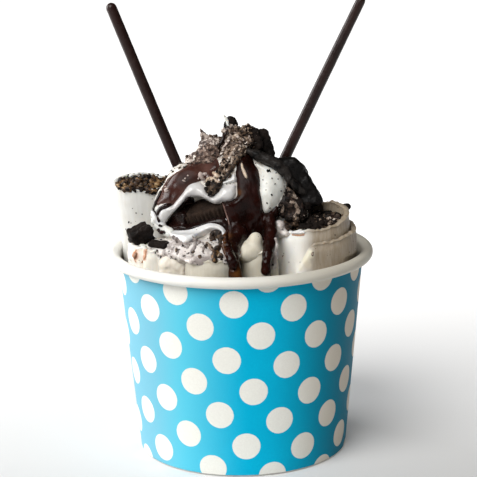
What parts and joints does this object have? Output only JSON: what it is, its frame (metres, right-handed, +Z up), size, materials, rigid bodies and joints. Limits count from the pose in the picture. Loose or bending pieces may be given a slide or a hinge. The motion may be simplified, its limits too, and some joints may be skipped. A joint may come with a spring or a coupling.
{
  "type": "cup of rolled ice cream",
  "caption": "Tapered polka dot paper cup filled with upright ice cream rolls and heaped with cream, sauce, broken chocolate cookie and slanted chocolate sticks.",
  "frame": {"origin": "centre of the cup's foot, on the surface it stands on", "axes": "+Z up along the cup's axis, -Y towards the side the picture shows, +X to its right"},
  "size_m": [0.1, 0.1, 0.1698],
  "materials": {
    "cup_wall": "semi-matte coated paper with a polka dot print",
    "cup_base": "uncoated white paper",
    "ice_cream": "firm ice cream, soft sheen",
    "cream": "soft glossy cream",
    "cookie": "dry dark cocoa cookie",
    "crumb": "loose cookie crumb",
    "chocolate": "smooth dark chocolate coating"
  },
  "bodies": {
    "root": {"cup_wall": "cup_wall", "cup_base": "cup_base", "ice_cream_bed": "ice_cream", "roll_left": "ice_cream", "roll_front_left": "ice_cream", "roll_front": "ice_cream", "roll_center": "ice_cream", "roll_right": "ice_cream", "roll_back_right": "ice_cream", "roll_back": "ice_cream", "roll_back_left": "ice_cream", "crumb_left": "crumb", "crumb_front_left": "crumb", "crumb_front": "crumb", "crumb_right": "crumb", "crumb_back_right": "crumb", "crumb_back": "crumb", "crumb_back_left": "crumb", "crumb_peak": "crumb", "cookie_chunk_top": "crumb", "cookie_chunk_left": "crumb", "cookie": "cookie", "cookie_slab": "cookie", "cream_mound": "cream", "stick_left": "chocolate", "stick_right": "chocolate"}
  },
  "joints": []
}
